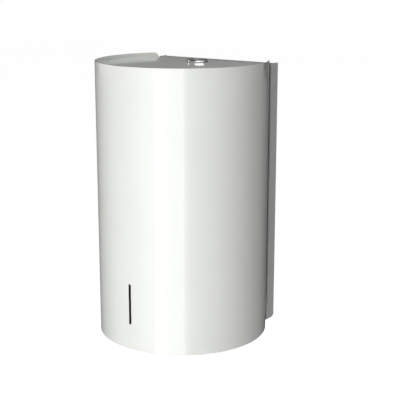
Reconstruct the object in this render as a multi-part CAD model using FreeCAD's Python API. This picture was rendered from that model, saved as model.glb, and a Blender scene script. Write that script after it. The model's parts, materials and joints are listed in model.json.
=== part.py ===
"""Wall-mounted centre-feed paper towel dispenser: a rolled sheet-steel cover on a shallow back casing.

The frame's origin is the centre of the four wall screw holes, on the wall plane.
+X is the user's right, +Y goes into the wall and +Z is up. All sizes are in millimetres.
The cover carries the top plate, the roll shelf and the paper nozzle. It tilts forward on two
hinges at its lower rear edge, and a key lock in the top plate hooks it to the casing.
"""
import FreeCAD, Part
import math
import os

V = FreeCAD.Vector

# Cover: a round shell, open at the back, whose axis stands in front of the wall.
SHEET = 1.5
COVER_RADIUS = 115.0
COVER_HEIGHT = 370.0
COVER_AXIS_Y = -90.0
COVER_WRAP = 126.0          # degrees, from the front to each rear edge
COVER_CORNER = 6.5
INNER_RADIUS = COVER_RADIUS - SHEET
COVER_BOTTOM = -COVER_HEIGHT / 2
COVER_TOP = COVER_HEIGHT / 2

# Level slot in the front of the cover.
SLOT_WIDTH = 3.6
SLOT_LENGTH = 55.0
SLOT_CENTRE_Z = COVER_BOTTOM + 62.2

# Top plate, let in below the rim, and the shelf that carries the roll.
TOP_PLATE_Z = COVER_TOP - 6.2
TOP_PLATE_REAR = -21.7
PAN_DEPTH = 12.0
SHELF_Z = COVER_BOTTOM + 30.0
SHELF_REAR = -24.0
APRON_HALF_WIDTH = 86.0
APRON_BOTTOM = COVER_BOTTOM + 3.5

# Back casing: a folded tray whose front edge stands just behind the cover's rear edges.
CASING_HALF_WIDTH = 94.0
CASING_DEPTH = 18.6
CASING_BOTTOM = COVER_BOTTOM + 5.0
CASING_FOLD = 2.5           # outer bend radius of the folds at the sides and the top
CASING_ROLL = 6.0           # outer bend radius of the rolled bottom edge
CASING_LIP = 7.0            # how far the rolled bottom edge reaches from the wall
CASING_TAB_X = 82.0         # the lower corners are closed outboard of this
FLANGE_RISE = 0.8           # side flanges above the top fold
WALL_HOLE_RADIUS = 3.0
WALL_HOLE_X = 60.0
WALL_HOLE_Z = 100.0

# Hinges: a clevis on the casing, a rolled knuckle on the shelf, and a headed pin.
HINGE_X = 68.0
HINGE_Y = -14.0
HINGE_Z = COVER_BOTTOM + 8.0
PLATE = 2.0                 # thickness of the hinge and keeper brackets
PIN_RADIUS = 2.5
PIN_PLAY = 0.05
EAR_RADIUS = 6.0
EAR_INNER = 8.5             # clevis ears' inner faces, from the hinge's centre
KNUCKLE_HALF = 8.0
PIN_HEAD_RADIUS = 4.5
PIN_TAIL = 1.0              # how far the pin's end stands out of the clevis
BRACKET_LOW = HINGE_Z + 6.0
BRACKET_HIGH = HINGE_Z + 32.0
LEAF_HALF = 9.5
LEAF_TOP = HINGE_Z + 19.0
HEEL_REACH = 8.0
HEEL_OFFSET = 1.4

# Lock on the centre line of the top plate, its hook and the post on the casing that it catches.
LOCK_Y = -56.0
LOCK_BEZEL_RADIUS = 15.0
LOCK_BEZEL_HEIGHT = 4.3
LOCK_BEVEL = 2.6
LOCK_BARREL_RADIUS = 9.0
LOCK_BARREL_LENGTH = 24.0
LOCK_FLAT = 8.0             # half the distance across the barrel's two flats
LOCK_PLUG_RADIUS = 6.0
NUT_ACROSS = 24.0
NUT_HEIGHT = 4.0
PLUG_SINK = 0.8             # the core's face below the bezel's
TANG = 7.0
SCREW_RADIUS = 2.0
SCREW_LENGTH = 9.0
SCREW_HEAD_RADIUS = 5.5
SCREW_HEAD_HEIGHT = 2.4
CAM_THICKNESS = 2.5
CAM_GAP = 0.3
CAM_TOP = TOP_PLATE_Z - LOCK_BARREL_LENGTH - CAM_GAP
POST_DISTANCE = 36.0
POST_RADIUS = 2.5
HOOK_PLAY = 0.8
HOOK_WIDTH = 4.0
CAM_ARM_WIDTH = 8.0
KEEPER_HALF = 12.0
KEEPER_CORNER = 4.0
KEEPER_LOW = 146.0
KEEPER_HIGH = 162.0

# Paper nozzle in the shelf.
NOZZLE_Y = -102.0
NOZZLE_HOLE = 20.0
NOZZLE_FLANGE = 30.0
NOZZLE_WALL = 2.5
NOZZLE_END = COVER_BOTTOM + 6.0
RING_THICKNESS = 7.0
RING_RADIUS = 28.0
NOTCH_DEPTH = 2.0
NOTCH_WIDTH = 5.0
NOTCHES = 8
TEAR_ROOT = 12.5
TEAR_TIP = 9.5
TEETH = 12

BUFFER_X = 72.0
BUFFER_RADIUS = 4.5
BUFFER_Z = TOP_PLATE_Z - 7.0
BUFFER_PLAY = 0.3


def box(x0, x1, y0, y1, z0, z1):
    """An upright block between two corners."""
    return Part.makeBox(x1 - x0, y1 - y0, z1 - z0, V(x0, y0, z0))


def rod(radius, start, end):
    """A round bar from one point to another."""
    return Part.makeCylinder(radius, (end - start).Length, start, end - start)


def plate_from(edges, direction):
    """A closed outline of edges, filled and extruded."""
    return Part.Face(Part.Wire(Part.__sortEdges__(edges))).extrude(direction)


def polygon(points, direction):
    """A closed outline of straight runs, filled and extruded."""
    return Part.Face(Part.makePolygon(points + points[:1])).extrude(direction)


def arc(first, middle, last):
    return Part.Arc(first, middle, last).toShape()


def line(first, last):
    return Part.LineSegment(first, last).toShape()


def turned(points, y, z=0.0):
    """A closed profile of (radius, 0, height) points turned round the centre line at y, raised by z."""
    solid = Part.Face(Part.makePolygon(points + points[:1])).revolve(V(0, 0, 0), V(0, 0, 1), 360)
    solid.translate(V(0, y, z))
    return solid


def on_cover(radius, degrees, z):
    """A point at an angle from the front of the cover, positive towards the user's right."""
    a = math.radians(degrees)
    return V(radius * math.sin(a), COVER_AXIS_Y - radius * math.cos(a), z)


def cut_circle(radius, rear_y, z):
    """The edges of a circle about the cover's axis that a straight rear edge cuts off."""
    half = math.sqrt(radius ** 2 - (rear_y - COVER_AXIS_Y) ** 2)
    left, right = V(-half, rear_y, z), V(half, rear_y, z)
    return [arc(right, V(0, COVER_AXIS_Y - radius, z), left), line(left, right)]


def pan(radius, rear_y, top_z, depth):
    """A pressed plate with its edge turned down all round."""
    outer = plate_from(cut_circle(radius, rear_y, top_z), V(0, 0, -depth))
    hollow = plate_from(cut_circle(radius - SHEET, rear_y - SHEET, top_z - SHEET), V(0, 0, -depth))
    return outer.cut(hollow)


def slot_cutter(centre_z, width, length, y0, y1):
    """An upright slot with round ends, to cut along Y."""
    half, run = width / 2, (length - width) / 2
    middle = box(-half, half, y0, y1, centre_z - run, centre_z + run)
    ends = [rod(half, V(0, y0, centre_z + s * run), V(0, y1, centre_z + s * run)) for s in (-1, 1)]
    return middle.fuse(ends).removeSplitter()


def cover_shell():
    wrap = COVER_WRAP
    outer = [on_cover(COVER_RADIUS, a, COVER_BOTTOM) for a in (-wrap, 0, wrap)]
    inner = [on_cover(INNER_RADIUS, a, COVER_BOTTOM) for a in (wrap, 0, -wrap)]
    edges = [arc(*outer), line(outer[2], inner[0]), arc(*inner), line(inner[2], outer[0])]
    shell = plate_from(edges, V(0, 0, COVER_HEIGHT))
    corners = [e for e in shell.Edges if abs(e.Length - SHEET) < 0.01]
    shell = shell.makeFillet(COVER_CORNER, corners)
    front = COVER_AXIS_Y - COVER_RADIUS
    return shell.cut(slot_cutter(SLOT_CENTRE_Z, SLOT_WIDTH, SLOT_LENGTH, front - 5, front + 10))


def top_plate():
    plate = pan(INNER_RADIUS, TOP_PLATE_REAR, TOP_PLATE_Z, PAN_DEPTH)
    return plate.cut(barrel(TOP_PLATE_Z + 1, 4.0, 0.1))


def bottom_shelf():
    shelf = pan(INNER_RADIUS, SHELF_REAR, SHELF_Z, PAN_DEPTH)
    apron = box(-APRON_HALF_WIDTH, APRON_HALF_WIDTH, SHELF_REAR - SHEET, SHELF_REAR,
                APRON_BOTTOM, SHELF_Z - PAN_DEPTH)
    shelf = shelf.fuse(apron).removeSplitter()
    top = V(0, NOZZLE_Y, SHELF_Z + 1)
    return shelf.cut(rod(NOZZLE_HOLE, top, V(0, NOZZLE_Y, SHELF_Z - SHEET - 1)))


def casing_outline(half_width, y0, y1, bottom, top, bend):
    """A block whose lower rear edge is rolled round."""
    block = box(-half_width, half_width, y0, y1, bottom, top)
    rolled = [e for e in block.Edges if is_x_edge(e, y1, bottom)]
    return block.makeFillet(bend, rolled)


def is_x_edge(edge, y, z):
    ends = [v.Point for v in edge.Vertexes]
    return all(abs(p.y - y) < 0.01 and abs(p.z - z) < 0.01 for p in ends)


def back_casing():
    wide = CASING_HALF_WIDTH
    tray = casing_outline(wide, -CASING_DEPTH, 0, CASING_BOTTOM, TOP_PLATE_Z, CASING_ROLL)
    folds = [e for e in tray.Edges if is_fold(e)]
    tray = tray.makeFillet(CASING_FOLD, folds)
    hollow = casing_outline(wide - SHEET, -CASING_DEPTH - 1, -SHEET, CASING_BOTTOM + SHEET,
                            TOP_PLATE_Z - SHEET, CASING_ROLL - SHEET)
    tray = tray.cut(hollow)
    tray = tray.cut(box(-CASING_TAB_X, CASING_TAB_X, -CASING_DEPTH - 1, -CASING_LIP,
                        CASING_BOTTOM - 1, CASING_BOTTOM + 2 * SHEET))
    for side in (-1, 1):
        inner, outer = sorted((side * (wide - SHEET), side * wide))
        tray = tray.fuse(box(inner, outer, -CASING_DEPTH, -CASING_FOLD, TOP_PLATE_Z - SHEET,
                             TOP_PLATE_Z + FLANGE_RISE))
    tray = tray.removeSplitter()
    holes = [rod(WALL_HOLE_RADIUS, V(x, -5, z), V(x, 1, z))
             for x in (-WALL_HOLE_X, WALL_HOLE_X) for z in (-WALL_HOLE_Z, WALL_HOLE_Z)]
    return tray.cut(holes)


def is_fold(edge):
    """The casing's upright rear edges and the straight part of its top rear edge."""
    ends = [v.Point for v in edge.Vertexes]
    rear = all(abs(p.y) < 0.01 for p in ends)
    upright = abs(ends[0].x - ends[-1].x) < 0.01 and edge.Length > COVER_HEIGHT / 2
    return rear and (upright or is_x_edge(edge, 0, TOP_PLATE_Z))


def hinge_bracket(x):
    """A clevis: a base plate spot-welded to the casing, with two ears that hold the pin."""
    ears = []
    for side in (-1, 1):
        start = x + side * EAR_INNER if side > 0 else x - EAR_INNER - PLATE
        ears.append(ear_plate(start))
    width = EAR_INNER + PLATE
    base = box(x - width, x + width, -SHEET - PLATE, -SHEET, BRACKET_LOW, BRACKET_HIGH)
    bracket = base.fuse(ears).removeSplitter()
    bore = rod(PIN_RADIUS, V(x - 20, HINGE_Y, HINGE_Z), V(x + 20, HINGE_Y, HINGE_Z))
    return bracket.cut(bore)


def ear_plate(x):
    """One ear: a round end about the pin, tangent to the two ends of the base plate."""
    low = V(x, -SHEET, BRACKET_LOW)
    high = V(x, -SHEET, BRACKET_HIGH)
    centre = V(x, HINGE_Y, HINGE_Z)
    low_touch = tangent_point(centre, low, -1)
    high_touch = tangent_point(centre, high, 1)
    front = centre + V(0, -EAR_RADIUS, 0)
    edges = [line(low, low_touch), arc(low_touch, front, high_touch), line(high_touch, high),
             line(high, low)]
    return plate_from(edges, V(PLATE, 0, 0))


def tangent_point(centre, point, side):
    """Where a straight edge from the point touches the ear's round end."""
    away = point - centre
    reach = math.hypot(away.y, away.z)
    angle = math.atan2(away.z, away.y) + side * math.acos(EAR_RADIUS / reach)
    return centre + V(0, EAR_RADIUS * math.cos(angle), EAR_RADIUS * math.sin(angle))


def hinge_leaf(x):
    """The cover's half: a leaf spot-welded to the shelf's apron, bent under and rolled round the pin."""
    outer = PIN_RADIUS + PIN_PLAY + PLATE
    start, along = V(x - KNUCKLE_HALF, 0, 0), V(2 * KNUCKLE_HALF, 0, 0)
    leaf = box(x - LEAF_HALF, x + LEAF_HALF, SHELF_REAR, SHELF_REAR + PLATE,
               HINGE_Z - outer, LEAF_TOP)
    web = box(x - KNUCKLE_HALF, x + KNUCKLE_HALF, SHELF_REAR, HINGE_Y,
              HINGE_Z - outer, HINGE_Z - outer + PLATE)
    knuckle = Part.makeCylinder(outer, along.x, start + V(0, HINGE_Y, HINGE_Z), V(1, 0, 0))
    heel = box(x - KNUCKLE_HALF, x + KNUCKLE_HALF, HINGE_Y - HEEL_OFFSET - PLATE,
               HINGE_Y - HEEL_OFFSET, HINGE_Z - HEEL_REACH, HINGE_Z - outer + PLATE)
    body = leaf.fuse([web, knuckle, heel]).removeSplitter()
    bore = rod(PIN_RADIUS + PIN_PLAY, V(x - 20, HINGE_Y, HINGE_Z), V(x + 20, HINGE_Y, HINGE_Z))
    return body.cut(bore)


def hinge_pin(x):
    """A pin pressed into the clevis, with its head on the outboard side."""
    out = V(1 if x > 0 else -1, 0, 0)
    centre = V(x, HINGE_Y, HINGE_Z)
    outboard = centre + out * (EAR_INNER + PLATE)
    inboard = centre - out * (EAR_INNER + PLATE + PIN_TAIL)
    head = rod(PIN_HEAD_RADIUS, outboard, outboard + out * PLATE)
    return rod(PIN_RADIUS, inboard, outboard).fuse(head).removeSplitter()


def closing_buffers():
    """Rubber buffers bonded to the back panel, which the top plate's turned edge closes on."""
    front = TOP_PLATE_REAR + BUFFER_PLAY
    return Part.makeCompound([rod(BUFFER_RADIUS, V(x, front, BUFFER_Z), V(x, -SHEET, BUFFER_Z))
                              for x in (-BUFFER_X, BUFFER_X)])


def lock_keeper():
    """A channel spot-welded to the back panel, whose two flanges hold the upright post."""
    front = LOCK_Y + POST_DISTANCE - 2 * POST_RADIUS
    whole = box(-KEEPER_HALF, KEEPER_HALF, front, -SHEET, KEEPER_LOW, KEEPER_HIGH)
    front_corners = [e for e in whole.Edges if is_z_edge(e, front)]
    whole = whole.makeChamfer(KEEPER_CORNER, front_corners)
    throat = box(-KEEPER_HALF - 1, KEEPER_HALF + 1, front - 1, -SHEET - PLATE,
                 KEEPER_LOW + PLATE, KEEPER_HIGH - PLATE)
    return whole.cut([throat, keeper_post()])


def is_z_edge(edge, y):
    ends = [v.Point for v in edge.Vertexes]
    return all(abs(p.y - y) < 0.01 for p in ends) and abs(ends[0].z - ends[-1].z) > 1


def keeper_post():
    centre_y = LOCK_Y + POST_DISTANCE
    return rod(POST_RADIUS, V(0, centre_y, KEEPER_LOW), V(0, centre_y, KEEPER_HIGH))


def barrel(top_z, length, play):
    """The lock barrel's section, round with two flats."""
    top = V(0, LOCK_Y, top_z)
    bottom = V(0, LOCK_Y, top_z - length)
    half, wide = LOCK_FLAT + play, LOCK_BARREL_RADIUS + 5
    flats = box(-half, half, LOCK_Y - wide, LOCK_Y + wide, top_z - length, top_z)
    return rod(LOCK_BARREL_RADIUS + play, bottom, top).common(flats)


def lock_housing():
    """A bevelled bezel on a barrel that passes through the top plate, bored for the core."""
    bore = LOCK_PLUG_RADIUS + PIN_PLAY
    edge, rim = LOCK_BEZEL_RADIUS, LOCK_BEZEL_HEIGHT
    profile = [V(bore, 0, 0), V(edge, 0, 0), V(edge, 0, rim - LOCK_BEVEL),
               V(edge - LOCK_BEVEL, 0, rim), V(bore, 0, rim)]
    bezel = turned(profile, LOCK_Y, TOP_PLATE_Z)
    neck = barrel(TOP_PLATE_Z, LOCK_BARREL_LENGTH, 0.0)
    hole = rod(bore, V(0, LOCK_Y, TOP_PLATE_Z - LOCK_BARREL_LENGTH - 1), V(0, LOCK_Y, TOP_PLATE_Z))
    return bezel.fuse(neck.cut(hole)).removeSplitter()


def lock_nut():
    """A thin hexagon nut that clamps the lock to the top plate."""
    top_z = TOP_PLATE_Z - SHEET
    corner = NUT_ACROSS / math.sqrt(3)
    points = [V(corner * math.cos(math.radians(a)), LOCK_Y + corner * math.sin(math.radians(a)),
                top_z - NUT_HEIGHT) for a in range(0, 360, 60)]
    return polygon(points, V(0, 0, NUT_HEIGHT)).cut(barrel(top_z + 1, NUT_HEIGHT + 2, 0.0))


def lock_plug():
    """The turning core, with a key slot in its face and a square tang for the hook."""
    face_z = TOP_PLATE_Z + LOCK_BEZEL_HEIGHT - PLUG_SINK
    core = rod(LOCK_PLUG_RADIUS, V(0, LOCK_Y, CAM_TOP), V(0, LOCK_Y, face_z))
    half = TANG / 2
    tang = box(-half, half, LOCK_Y - half, LOCK_Y + half, CAM_TOP - CAM_THICKNESS, CAM_TOP)
    key_slot = box(-4.0, 4.0, LOCK_Y - 0.7, LOCK_Y + 0.7, face_z - 6, face_z + 1)
    seat = CAM_TOP - CAM_THICKNESS
    thread = rod(SCREW_RADIUS, V(0, LOCK_Y, seat), V(0, LOCK_Y, seat + SCREW_LENGTH))
    return core.fuse(tang).removeSplitter().cut([key_slot, thread])


def lock_cam():
    """A crook-shaped hook. It points along +X when unlocked and turns to +Y round the post."""
    low = CAM_TOP - CAM_THICKNESS
    up = V(0, 0, CAM_THICKNESS)
    inner = POST_DISTANCE + POST_RADIUS + HOOK_PLAY
    outer = inner + HOOK_WIDTH
    near = -POST_RADIUS - HOOK_PLAY
    hub = Part.makeCylinder(9.0, CAM_THICKNESS, V(0, LOCK_Y, low))
    arm = box(0, inner, LOCK_Y + near - CAM_ARM_WIDTH, LOCK_Y + near, low, low + CAM_THICKNESS)
    tip, root = math.radians(9), math.asin((near - CAM_ARM_WIDTH) / outer)
    ring = [hook_point(outer, root, low), hook_point(outer, (root + tip) / 2, low),
            hook_point(outer, tip, low), hook_point(inner, tip, low),
            hook_point(inner, (root + tip) / 2, low), hook_point(inner, root, low)]
    band = plate_from([arc(*ring[:3]), line(ring[2], ring[3]), arc(*ring[3:]), line(ring[5], ring[0])], up)
    half = TANG / 2
    square = box(-half, half, LOCK_Y - half, LOCK_Y + half, low - 1, CAM_TOP + 1)
    crook = hub.fuse([arm, band]).removeSplitter()
    return crook.cut(square)


def hook_point(radius, angle, z):
    return V(radius * math.cos(angle), LOCK_Y + radius * math.sin(angle), z)


def cam_screw():
    """A broad-headed slotted screw that holds the hook on the tang."""
    seat = V(0, LOCK_Y, CAM_TOP - CAM_THICKNESS)
    head = rod(SCREW_HEAD_RADIUS, seat - V(0, 0, SCREW_HEAD_HEIGHT), seat)
    shank = rod(SCREW_RADIUS, seat, seat + V(0, 0, SCREW_LENGTH))
    slot = box(-SCREW_HEAD_RADIUS, SCREW_HEAD_RADIUS, LOCK_Y - 0.6, LOCK_Y + 0.6,
               seat.z - SCREW_HEAD_HEIGHT, seat.z - SCREW_HEAD_HEIGHT / 2)
    return head.fuse(shank).removeSplitter().cut(slot)


def paper_nozzle():
    """A flanged bush that hangs in the shelf's hole, threaded outside for its ring nut."""
    bore = NOZZLE_HOLE - NOZZLE_WALL
    profile = [V(bore, 0, SHELF_Z + NOZZLE_WALL), V(NOZZLE_FLANGE, 0, SHELF_Z + NOZZLE_WALL),
               V(NOZZLE_FLANGE, 0, SHELF_Z), V(NOZZLE_HOLE, 0, SHELF_Z),
               V(NOZZLE_HOLE, 0, NOZZLE_END), V(bore, 0, NOZZLE_END)]
    return turned(profile, NOZZLE_Y)


def nozzle_ring():
    """A ring nut under the shelf, with finger notches round its edge."""
    top = V(0, NOZZLE_Y, SHELF_Z - SHEET)
    bottom = top - V(0, 0, RING_THICKNESS)
    ring = rod(RING_RADIUS, bottom, top).cut(rod(NOZZLE_HOLE, bottom, top))
    notch = Part.makeBox(2 * NOTCH_DEPTH, NOTCH_WIDTH, RING_THICKNESS,
                         bottom + V(RING_RADIUS - NOTCH_DEPTH, -NOTCH_WIDTH / 2, 0))
    turns = [360 * step / NOTCHES for step in range(NOTCHES)]
    return ring.cut([notch.rotated(top, V(0, 0, 1), angle) for angle in turns])


def tear_ring():
    """A thin toothed disc under the nozzle, on which the paper tears."""
    high = V(0, NOZZLE_Y, NOZZLE_END)
    low = high - V(0, 0, SHEET)
    points = []
    for step in range(2 * TEETH):
        radius = TEAR_TIP if step % 2 else TEAR_ROOT
        a = math.pi * step / TEETH
        points.append(low + V(radius * math.cos(a), radius * math.sin(a), 0))
    return rod(NOZZLE_HOLE, low, high).cut(polygon(points, V(0, 0, SHEET)))


def export(name, shape):
    shape.exportStep(f"parts/{name}.step")


def main():
    os.makedirs("parts", exist_ok=True)
    for make in (cover_shell, top_plate, bottom_shelf, paper_nozzle, nozzle_ring, tear_ring,
                 back_casing, lock_keeper, keeper_post, closing_buffers, lock_housing, lock_nut,
                 lock_plug, lock_cam, cam_screw):
        export(make.__name__, make())
    for side, x in (("left", -HINGE_X), ("right", HINGE_X)):
        for make in (hinge_bracket, hinge_leaf, hinge_pin):
            export(f"{make.__name__}_{side}", make(x))


main()
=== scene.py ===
"""Looks of the wall-mounted centre-feed paper towel dispenser.

Everything is in metres, in the frame of the CAD model: +X is the user's right, +Y goes into the
wall and +Z is up. The cover's sheet and the lock's housing are remade as fine smooth meshes, and
every other CAD node is copied with slightly rounded edges. Each material is a small graph of
procedural nodes. A glossy white sheet takes much of its shading from what it mirrors, so the
studio also has graded cards that only reflections see.
"""

import json
import math

import bmesh
import bpy
from mathutils import Euler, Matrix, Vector


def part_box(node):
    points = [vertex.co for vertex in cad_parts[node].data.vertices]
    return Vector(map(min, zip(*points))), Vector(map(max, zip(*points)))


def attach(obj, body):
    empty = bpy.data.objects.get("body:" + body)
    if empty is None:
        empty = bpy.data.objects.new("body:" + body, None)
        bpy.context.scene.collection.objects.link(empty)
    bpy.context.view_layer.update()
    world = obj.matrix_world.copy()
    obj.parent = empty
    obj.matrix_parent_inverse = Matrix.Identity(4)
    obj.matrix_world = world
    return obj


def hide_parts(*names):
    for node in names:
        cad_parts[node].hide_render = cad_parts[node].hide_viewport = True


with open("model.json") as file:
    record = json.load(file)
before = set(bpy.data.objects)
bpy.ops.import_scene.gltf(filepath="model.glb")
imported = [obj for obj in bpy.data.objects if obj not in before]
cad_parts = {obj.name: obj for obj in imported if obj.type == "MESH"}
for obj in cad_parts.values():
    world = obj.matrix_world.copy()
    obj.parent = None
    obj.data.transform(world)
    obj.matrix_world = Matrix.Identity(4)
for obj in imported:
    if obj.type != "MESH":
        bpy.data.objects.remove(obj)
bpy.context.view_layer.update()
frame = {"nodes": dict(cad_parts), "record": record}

# ---------------------------------------------------------------- the cover's sheet
COVER_LOW, COVER_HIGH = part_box("cover_shell")
RADIUS = 0.115                      # of the sheet's outer face
AXIS_Y = COVER_LOW.y + RADIUS
SHEET = 0.0015                      # thickness
WRAP = math.radians(126.0)          # from the front to each rear edge
CORNER = 0.0065                     # radius of the rear corners
SHEET_EDGE = 0.00025                # rounding of the cut edges
SLOT_HALF = 0.0018                  # half the slot's width, and the radius of its ends
SLOT_RUN = 0.0257                   # from the slot's centre to the centres of its ends
SLOT_Z = COVER_LOW.z + 0.0622
SLOT_COLUMNS, SIDE_COLUMNS, CORNER_COLUMNS = 6, 96, 8   # columns of faces in each half
ROWS_BELOW, ROWS_ABOVE = 3, 10      # rows of faces under and over the slot's own row
ON_EDGE = 1e-7                      # slack when a column is tested against the slot's edge

# ---------------------------------------------------------------- the lock's housing
LOCK_LOW, LOCK_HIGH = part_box("lock_housing")
LOCK_Y = (LOCK_LOW.y + LOCK_HIGH.y) / 2
PLATE_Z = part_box("top_plate")[1].z
HEAD_RADIUS = (LOCK_HIGH.x - LOCK_LOW.x) / 2
HEAD_LEAN = 20.0                    # degrees that the wall leans in where the shoulder starts
HEAD_SHOULDER = 0.0029              # radius of the shoulder between wall and face
HEAD_SETBACK = 0.0006               # how far the leaning wall brings the shoulder in
HEAD_FOOT = 0.0001                  # rounding at the foot of the wall
FOOT_RING = 0.0004                  # height of a ring that keeps the wall's shading upright
HEAD_LIP = 0.0005                   # rounding round the core
CORE_RADIUS = 0.006
CORE_GAP = 0.0001                   # between the core and the bore round it
BARREL_RADIUS = 0.008               # a plain tube, as wide as the CAD barrel is across its flats
LOCK_STEPS = 128                    # columns of faces round the lock

# ---------------------------------------------------------------- rounding of the CAD nodes
SHARP = math.radians(32.0)          # edges that turn by more than this are rounded
FLAT = math.radians(0.6)            # triangles that turn by less than this are one face
SAME_PLACE = 1e-6                   # points nearer than this are one point

# ---------------------------------------------------------------- the photograph's camera
CAMERA_AT = (0.78431, -1.13195, 0.30789)
CAMERA_TILT = math.radians(90 - 13.516)
CAMERA_TURN = math.radians(35.933)
CAMERA_LENS = 88.45

# ---------------------------------------------------------------- the studio
AMBIENT = 0.03                      # the world's tone for the light that falls on things
FLOOR_Z = -1.0
FLOOR_REACH = 12.0
FLOOR_COLOUR = 0.6
FLOOR_WHITE = 0.97                  # brings the floor to white for the camera
KEY_TONE = 3.42
CARD_STEP = 5                       # degrees, about, between the columns of a curved card

# Lamps: name, degrees from the camera's side, distance from the cover's axis, height, width,
# own height, tone of the face, and the height it faces.
LAMPS = [
    ("key_low", -16.0, 1.4, -0.37, 0.94, 1.06, KEY_TONE, -0.37),
    ("key_high", -16.0, 1.4, 0.63, 0.94, 0.94, KEY_TONE, 0.63),
    ("fill_left", -95.0, 1.5, 0.1, 0.8, 1.6, 0.87, 0.1),
    ("fill_right", 95.0, 1.5, 0.1, 0.8, 1.6, 0.20, 0.1),
    ("overhead", 0.0, 0.01, 1.6, 1.2, 1.2, 1.0, 0.1),
    ("top", 0.0, 0.01, 4.0, 0.5, 0.5, 40.0, 0.1),
    ("rear", 180.0, 1.6, -0.45, 1.4, 1.0, 2.8, -0.1),
]
MIRRORED_LAMP = "key_low"           # the one lamp whose face shows in reflections

# Cards: name, low and high ring as (distance from the axis, height), and the glow as stops of
# (degrees from the camera's side, tone).
CARDS = [
    ("key_left", (1.7, -1.3), (1.7, 0.16),
     [(-78.0, 1.0), (-62.0, 1.5), (-45.0, 3.0), (-33.0, 3.0)]),
    ("key_right", (1.7, -1.3), (1.7, 0.16),
     [(1.0, 3.0), (5.0, 2.2), (11.0, 1.5), (18.0, 1.0)]),
    ("low_ring", (1.6, -1.3), (1.6, 0.0),
     [(100.0, 1.0), (120.0, 0.85), (140.0, 0.37), (160.0, 0.0), (210.0, 0.19), (240.0, 0.32),
      (270.0, 1.0)]),
    ("behind", (1.5, 0.0), (1.5, 0.48), [(130.0, 0.13), (230.0, 0.13)]),
    ("high_ring", (1.8, 0.16), (1.8, 1.53),
     [(-180.0, 0.12), (-100.0, 0.30), (-25.0, 0.36), (0.0, 0.45), (50.0, 0.45), (75.0, 0.3),
      (95.0, 0.18), (180.0, 0.12)]),
    ("outer_roof", (1.8, 1.53), (1.5, 1.73),
     [(-180.0, 0.15), (-35.0, 0.15), (-25.0, 3.3), (90.0, 3.3), (100.0, 0.15), (180.0, 0.15)]),
    ("inner_roof", (1.5, 1.73), (0.01, 1.8),
     [(-180.0, 0.15), (-40.0, 0.15), (5.0, 0.7), (28.0, 1.4), (50.0, 0.8), (85.0, 0.15),
      (180.0, 0.15)]),
    ("kicker", (1.55, 0.68), (1.55, 0.94), [(-128.0, 3.4), (-112.0, 3.4)]),
]


# ---------------------------------------------------------------- mesh helpers
def add_object(name, data):
    made = bpy.data.objects.new(name, data)
    bpy.context.collection.objects.link(made)
    return made


def new_piece(name, mesh, material, body, node):
    """A finished mesh as an object that rides on a body and stands for a CAD node."""
    piece = add_object(name, mesh)
    mesh.materials.append(material)
    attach(piece, body)
    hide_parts(node)
    return piece


def finished(graph, name):
    mesh = bpy.data.meshes.new(name)
    graph.to_mesh(mesh)
    graph.free()
    return mesh


def smooth(mesh):
    mesh.polygons.foreach_set("use_smooth", [True] * len(mesh.polygons))
    mesh.update()


def round_edges(piece, width, segments):
    """Small rounded edges, with the flat faces kept flat in the shading."""
    bevel = piece.modifiers.new("edges", "BEVEL")
    bevel.width = width
    bevel.segments = segments
    bevel.limit_method = "ANGLE"
    bevel.angle_limit = SHARP
    normals = piece.modifiers.new("normals", "WEIGHTED_NORMAL")
    normals.keep_sharp = True
    smooth(piece.data)


def spaced(start, end, count):
    """Evenly spaced values, both ends included."""
    return [start + (end - start) * i / count for i in range(count + 1)]


def eased(radius, count):
    """Distances out to the edge of a round end, closer together where it curves away."""
    return [radius * math.sin(math.pi / 2 * i / count) for i in range(count + 1)]


# ---------------------------------------------------------------- the cover's sheet
def cover_columns():
    """Distances round the sheet: fine across the slot and the round corners, even between."""
    corner_start = RADIUS * WRAP - CORNER
    right = eased(SLOT_HALF, SLOT_COLUMNS)
    right += spaced(SLOT_HALF, corner_start, SIDE_COLUMNS)[1:]
    right += [corner_start + d for d in eased(CORNER, CORNER_COLUMNS)[1:]]
    return [-d for d in reversed(right[1:])] + right


def edge_drop(distance):
    """How far the sheet's top and bottom edges are cut back at a distance round it."""
    over = max(0.0, abs(distance) - (RADIUS * WRAP - CORNER))
    return CORNER - math.sqrt(max(0.0, CORNER ** 2 - over ** 2))


def slot_reach(distance):
    """Half the slot's opening at a distance round the sheet."""
    return SLOT_RUN + math.sqrt(max(0.0, SLOT_HALF ** 2 - distance ** 2))


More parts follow.
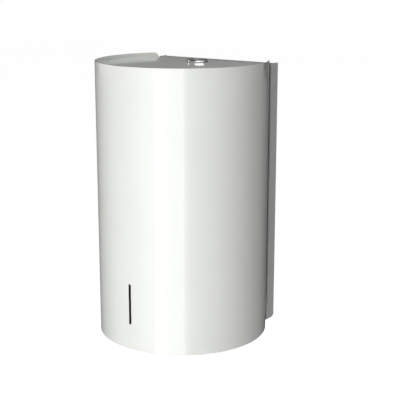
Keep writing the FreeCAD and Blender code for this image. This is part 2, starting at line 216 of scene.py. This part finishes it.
def cover_skin(material, slot_shade_material):
    """The rolled sheet: columns of quads on the outer face, thickened inwards.

    The thickening gives a cut edge the material after its face's own. So the faces beside the
    slot carry the second material, which is the paint again, and the slot's edges get the third,
    whose black is painted shade for the dark inside of the slot.
    """
    graph = bmesh.new()
    columns = cover_columns()
    grid = []
    for distance in columns:
        drop = edge_drop(distance)
        low, high = COVER_LOW.z + drop, COVER_HIGH.z - drop
        reach = slot_reach(distance)
        heights = spaced(low, SLOT_Z - reach, ROWS_BELOW) + spaced(SLOT_Z + reach, high, ROWS_ABOVE)
        angle = distance / RADIUS
        x, y = RADIUS * math.sin(angle), AXIS_Y - RADIUS * math.cos(angle)
        grid.append([graph.verts.new((x, y, z)) for z in heights])
    for i, (left, right) in enumerate(zip(grid, grid[1:])):
        sides = abs(columns[i]), abs(columns[i + 1])
        in_slot = max(sides) < SLOT_HALF + ON_EDGE
        by_slot = min(sides) < SLOT_HALF + ON_EDGE
        for k in range(len(left) - 1):
            if in_slot and k == ROWS_BELOW:
                continue
            face = graph.faces.new((left[k], right[k], right[k + 1], left[k + 1]))
            face.material_index = 1 if by_slot and abs(k - ROWS_BELOW) <= 1 else 0
    bmesh.ops.recalc_face_normals(graph, faces=graph.faces)
    mesh = finished(graph, "cover_skin")
    piece = new_piece("cover_skin", mesh, material, "cover", "cover_shell")
    mesh.materials.append(material)
    mesh.materials.append(slot_shade_material)
    if mesh.polygons[0].normal.dot(mesh.polygons[0].center - Vector((0, AXIS_Y, 0))) < 0:
        mesh.flip_normals()
    wall = piece.modifiers.new("sheet", "SOLIDIFY")
    wall.thickness = SHEET
    wall.material_offset_rim = 1
    wall.offset = -1.0
    round_edges(piece, SHEET_EDGE, 3)


# ---------------------------------------------------------------- the lock's housing
def turned(name, profile):
    """A mesh turned from a closed profile of (radius, height) points round the lock's axis."""
    graph = bmesh.new()
    angles = [2 * math.pi * i / LOCK_STEPS for i in range(LOCK_STEPS)]
    rings = [[graph.verts.new((radius * math.cos(a), LOCK_Y + radius * math.sin(a), z))
              for a in angles] for radius, z in profile]
    for lower, upper in zip(rings, rings[1:] + rings[:1]):
        for i in range(LOCK_STEPS):
            j = (i + 1) % LOCK_STEPS
            graph.faces.new((lower[i], lower[j], upper[j], upper[i]))
    bmesh.ops.recalc_face_normals(graph, faces=graph.faces)
    mesh = finished(graph, name)
    smooth(mesh)
    return mesh


def arc(centre_r, centre_z, radius, start, end, count):
    """Profile points on an arc between two angles in degrees, 0 outward and 90 up."""
    angles = [math.radians(a) for a in spaced(start, end, count)]
    return [(centre_r + radius * math.cos(a), centre_z + radius * math.sin(a)) for a in angles]


def lock_bezel(material):
    """The lock's chromed head with its slight cone and round shoulder, and the barrel below it."""
    top = LOCK_HIGH.z
    bore = CORE_RADIUS + CORE_GAP
    profile = [(bore, LOCK_LOW.z), (BARREL_RADIUS, LOCK_LOW.z), (BARREL_RADIUS, PLATE_Z),
               (HEAD_RADIUS - HEAD_FOOT, PLATE_Z), (HEAD_RADIUS, PLATE_Z + HEAD_FOOT),
               (HEAD_RADIUS - HEAD_FOOT, PLATE_Z + FOOT_RING)]
    profile += arc(HEAD_RADIUS - HEAD_SETBACK - HEAD_SHOULDER, top - HEAD_SHOULDER, HEAD_SHOULDER,
                   HEAD_LEAN, 90, 12)
    profile += arc(bore + HEAD_LIP, top - HEAD_LIP, HEAD_LIP, 90, 180, 4)
    mesh = turned("lock_bezel", profile)
    new_piece("lock_bezel", mesh, material, "cover", "lock_housing")


# ---------------------------------------------------------------- CAD nodes with rounded edges
def softened(node, width, material, body):
    """A copy of a CAD node's mesh whose triangles are joined into clean faces and edges rounded."""
    graph = bmesh.new()
    graph.from_mesh(frame["nodes"][node].data)
    bmesh.ops.remove_doubles(graph, verts=graph.verts, dist=SAME_PLACE)
    bmesh.ops.dissolve_limit(graph, angle_limit=FLAT, verts=graph.verts, edges=graph.edges)
    mesh = finished(graph, node + "_soft")
    piece = new_piece(node + "_soft", mesh, material, body, node)
    round_edges(piece, width, 2)


# ---------------------------------------------------------------- materials
NOISE_LOW, NOISE_HIGH = 0.35, 0.65  # the middle of a noise's range, which holds most of it


def new_material(name):
    material = bpy.data.materials.new(name)
    material.use_nodes = True
    nodes, links = material.node_tree.nodes, material.node_tree.links
    return material, nodes, links, nodes["Principled BSDF"]


def grey(value):
    return (value, value, value)


def noise(nodes, links, scale, detail):
    """A noise texture on the object's own coordinates, in metres."""
    place = nodes.new("ShaderNodeTexCoord")
    texture = nodes.new("ShaderNodeTexNoise")
    texture.inputs["Scale"].default_value = scale
    texture.inputs["Detail"].default_value = detail
    links.new(place.outputs["Object"], texture.inputs["Vector"])
    return texture.outputs["Fac"]


def vary(nodes, links, source, socket, low, high):
    """Let a noise move a shader's socket between two colours."""
    colours = nodes.new("ShaderNodeValToRGB")
    first, last = colours.color_ramp.elements
    first.position, last.position = NOISE_LOW, NOISE_HIGH
    first.color, last.color = (*low, 1), (*high, 1)
    links.new(source, colours.inputs["Fac"])
    links.new(colours.outputs["Color"], socket)


def bump(nodes, links, height, distance, strength, shader):
    node = nodes.new("ShaderNodeBump")
    node.inputs["Distance"].default_value = distance
    node.inputs["Strength"].default_value = strength
    links.new(height, node.inputs["Height"])
    links.new(node.outputs["Normal"], shader.inputs["Normal"])


def powder_coat(name, colour, gloss, peel):
    """Baked paint: a faint drift of tint and gloss, and the fine waves of sprayed powder."""
    material, nodes, links, shader = new_material(name)
    drift = noise(nodes, links, 14.0, 3.0)
    darker = tuple(c * 0.985 for c in colour)
    vary(nodes, links, drift, shader.inputs["Base Color"], darker, colour)
    haze = noise(nodes, links, 60.0, 4.0)
    vary(nodes, links, haze, shader.inputs["Roughness"], grey(gloss * 0.85), grey(gloss * 1.2))
    shader.inputs["IOR"].default_value = 1.5
    bump(nodes, links, noise(nodes, links, 420.0, 1.0), 0.00002, peel, shader)
    return material


def chrome(name):
    """Polished plate: a thin uneven film over the metal, and faint rubbing in the gloss."""
    material, nodes, links, shader = new_material(name)
    shader.inputs["Metallic"].default_value = 1.0
    film = noise(nodes, links, 180.0, 3.0)
    vary(nodes, links, film, shader.inputs["Base Color"], (0.74, 0.73, 0.72), (0.80, 0.79, 0.785))
    rub = noise(nodes, links, 900.0, 4.0)
    vary(nodes, links, rub, shader.inputs["Roughness"], grey(0.05), grey(0.11))
    return material


def plated(name, low, high, rough_low, rough_high):
    """Zinc plate or bare steel: mottled tone, uneven gloss and a fine grain."""
    material, nodes, links, shader = new_material(name)
    shader.inputs["Metallic"].default_value = 1.0
    cloud = noise(nodes, links, 220.0, 5.0)
    vary(nodes, links, cloud, shader.inputs["Base Color"], low, high)
    vary(nodes, links, cloud, shader.inputs["Roughness"], grey(rough_low), grey(rough_high))
    bump(nodes, links, noise(nodes, links, 2500.0, 2.0), 0.00001, 0.3, shader)
    return material


def moulded(name, low, high, roughness, grain_scale, depth):
    """Plastic or rubber with a spark-eroded grain."""
    material, nodes, links, shader = new_material(name)
    cloud = noise(nodes, links, 40.0, 3.0)
    vary(nodes, links, cloud, shader.inputs["Base Color"], low, high)
    rub = noise(nodes, links, 130.0, 3.0)
    smoother, rougher = grey(roughness * 0.9), grey(roughness * 1.1)
    vary(nodes, links, rub, shader.inputs["Roughness"], smoother, rougher)
    bump(nodes, links, noise(nodes, links, grain_scale, 3.0), depth, 0.5, shader)
    return material


def bare_material(name):
    """A material with nothing but its output, for the floor and the cards."""
    material = bpy.data.materials.new(name)
    material.use_nodes = True
    nodes, links = material.node_tree.nodes, material.node_tree.links
    nodes.clear()
    return material, nodes, links, nodes.new("ShaderNodeOutputMaterial")


# ---------------------------------------------------------------- studio
def seen_white(nodes, links):
    """1 for rays that should find the plain white background, 0 for the light on things."""
    rays = nodes.new("ShaderNodeLightPath")
    seen = rays.outputs["Is Camera Ray"]
    for kind in ("Is Glossy Ray", "Is Transmission Ray"):
        either = nodes.new("ShaderNodeMath")
        either.operation = "MAXIMUM"
        links.new(seen, either.inputs[0])
        links.new(rays.outputs[kind], either.inputs[1])
        seen = either.outputs[0]
    return seen


def set_world():
    world = bpy.data.worlds.new("studio")
    bpy.context.scene.world = world
    world.use_nodes = True
    nodes, links = world.node_tree.nodes, world.node_tree.links
    back = nodes["Background"]
    mix = nodes.new("ShaderNodeMix")
    mix.data_type = "RGBA"
    mix.inputs["A"].default_value = (*grey(AMBIENT), 1)
    mix.inputs["B"].default_value = (1, 1, 1, 1)
    links.new(seen_white(nodes, links), mix.inputs["Factor"])
    links.new(mix.outputs["Result"], back.inputs["Color"])
    back.inputs["Strength"].default_value = 1.0


def floor():
    """A pale floor at mounting height below the object, white to the camera but for its shadow."""
    mesh = bpy.data.meshes.new("floor")
    corners = [(x * FLOOR_REACH, y * FLOOR_REACH, FLOOR_Z)
               for x, y in ((-1, -1), (1, -1), (1, 1), (-1, 1))]
    mesh.from_pydata(corners, [], [(0, 1, 2, 3)])
    add_object("floor", mesh)
    material, nodes, links, output = bare_material("floor")
    matt = nodes.new("ShaderNodeBsdfDiffuse")
    matt.inputs["Color"].default_value = (*grey(FLOOR_COLOUR), 1)
    white = nodes.new("ShaderNodeEmission")
    white.inputs["Strength"].default_value = FLOOR_WHITE
    both = nodes.new("ShaderNodeAddShader")
    links.new(matt.outputs[0], both.inputs[0])
    links.new(white.outputs[0], both.inputs[1])
    pick = nodes.new("ShaderNodeMixShader")
    links.new(seen_white(nodes, links), pick.inputs["Fac"])
    links.new(matt.outputs[0], pick.inputs[1])
    links.new(both.outputs[0], pick.inputs[2])
    links.new(pick.outputs[0], output.inputs["Surface"])
    mesh.materials.append(material)


def from_camera(degrees, distance, z):
    """A place round the cover's axis, at an angle from the camera's side, positive to its right."""
    a = CAMERA_TURN + math.radians(degrees)
    return Vector((distance * math.sin(a), AXIS_Y - distance * math.cos(a), z))


def softbox(name, degrees, distance, z, width, height, tone, aim_z):
    """A rectangular lamp that faces the cover's axis, given by the brightness of its face."""
    data = bpy.data.lights.new(name, "AREA")
    data.shape = "RECTANGLE"
    data.size, data.size_y = width, height
    data.energy = tone * math.pi * width * height
    lamp = add_object(name, data)
    lamp.location = from_camera(degrees, distance, z)
    inward = Vector((0, AXIS_Y, aim_z)) - lamp.location
    lamp.rotation_euler = inward.to_track_quat("-Z", "Y").to_euler()
    lamp.visible_camera = False
    lamp.visible_glossy = name == MIRRORED_LAMP


def glow(name):
    """A material that shines with the mesh's own colour."""
    material, nodes, links, output = bare_material(name)
    light = nodes.new("ShaderNodeEmission")
    shade = nodes.new("ShaderNodeVertexColor")
    shade.layer_name = "glow"
    links.new(shade.outputs["Color"], light.inputs["Color"])
    links.new(light.outputs[0], output.inputs["Surface"])
    return material


def card(name, low, high, stops):
    """A curved card that only reflections see, between two rings, its glow graded between stops."""
    columns = [stops[0]]
    for (start, tone), (end, next_tone) in zip(stops, stops[1:]):
        count = max(1, round((end - start) / CARD_STEP))
        columns += list(zip(spaced(start, end, count), spaced(tone, next_tone, count)))[1:]
    places = [tuple(from_camera(degrees, *ring)) for degrees, _ in columns for ring in (low, high)]
    quads = [(2 * i, 2 * i + 2, 2 * i + 3, 2 * i + 1) for i in range(len(columns) - 1)]
    mesh = bpy.data.meshes.new(name)
    mesh.from_pydata(places, [], quads)
    shades = mesh.color_attributes.new("glow", "FLOAT_COLOR", "POINT")
    for i, shade in enumerate(shades.data):
        shade.color = (*grey(columns[i // 2][1]), 1)
    mesh.materials.append(glow(name))
    sheet = add_object(name, mesh)
    sheet.visible_camera = False
    sheet.visible_shadow = False
    sheet.visible_diffuse = False


def camera():
    data = bpy.data.cameras.new("camera")
    data.lens = CAMERA_LENS
    data.sensor_width = 36.0
    data.clip_start = 0.05
    lens = add_object("camera", data)
    lens.location = CAMERA_AT
    lens.rotation_euler = Euler((CAMERA_TILT, 0, CAMERA_TURN))
    bpy.context.scene.camera = lens


# ---------------------------------------------------------------- build
PAINT = powder_coat("white_powder_coat", (0.888, 0.904, 0.864), 0.09, 0.10)
# A darker copy of the cover's white paint: painted shade, for the shade the cover's overhang casts
# on the casing's side.
SHADED_CASING_PAINT = powder_coat("casing_coat_painted_shade", (0.631, 0.631, 0.612), 0.12, 0.10)
# Satin black: the shelf's own coat, and painted shade on the slot's cut edges for the dark inside
# of the slot.
BLACK_COAT_AND_SLOT_SHADE = powder_coat("satin_black_coat_and_slot_shade", (0.035, 0.035, 0.036), 0.34, 0.05)
CHROME = chrome("polished_chrome")
ZINC = plated("zinc_plate", (0.55, 0.56, 0.58), (0.68, 0.69, 0.70), 0.24, 0.38)
STEEL = plated("stainless_steel", (0.60, 0.60, 0.59), (0.70, 0.70, 0.69), 0.20, 0.30)
PLASTIC = moulded("grey_plastic", (0.58, 0.59, 0.59), (0.62, 0.63, 0.63), 0.45, 1800.0, 0.00002)
RUBBER = moulded("black_rubber", (0.018, 0.018, 0.018), (0.03, 0.03, 0.03), 0.75, 1200.0, 0.00003)

# The record's material slots: the material, and how far a node's edges are rounded.
FINISHES = {"cover_paint": (PAINT, 0.0004), "casing_paint": (SHADED_CASING_PAINT, 0.0004),
            "shelf_paint": (BLACK_COAT_AND_SLOT_SHADE, 0.0004), "nozzle_plastic": (PLASTIC, 0.0005),
            "tear_steel": (STEEL, 0.0001), "lock_chrome": (CHROME, 0.0002),
            "zinc_steel": (ZINC, 0.0003), "buffer_rubber": (RUBBER, 0.0006)}

cover_skin(PAINT, BLACK_COAT_AND_SLOT_SHADE)
lock_bezel(CHROME)

body_of_node = {node: body for body, nodes in frame["record"]["behaviour"]["bodies"].items()
                for node in nodes}
for part in frame["record"]["subparts"]:
    node, finish = part["node"], part["material_slot"]
    if node not in ("cover_shell", "lock_housing"):
        look, rounding = FINISHES[finish]
        softened(node, rounding, look, body_of_node[node])

set_world()
floor()
for lamp_row in LAMPS:
    softbox(*lamp_row)
for card_row in CARDS:
    card(*card_row)
camera()
bpy.context.scene.view_settings.view_transform = "Standard"
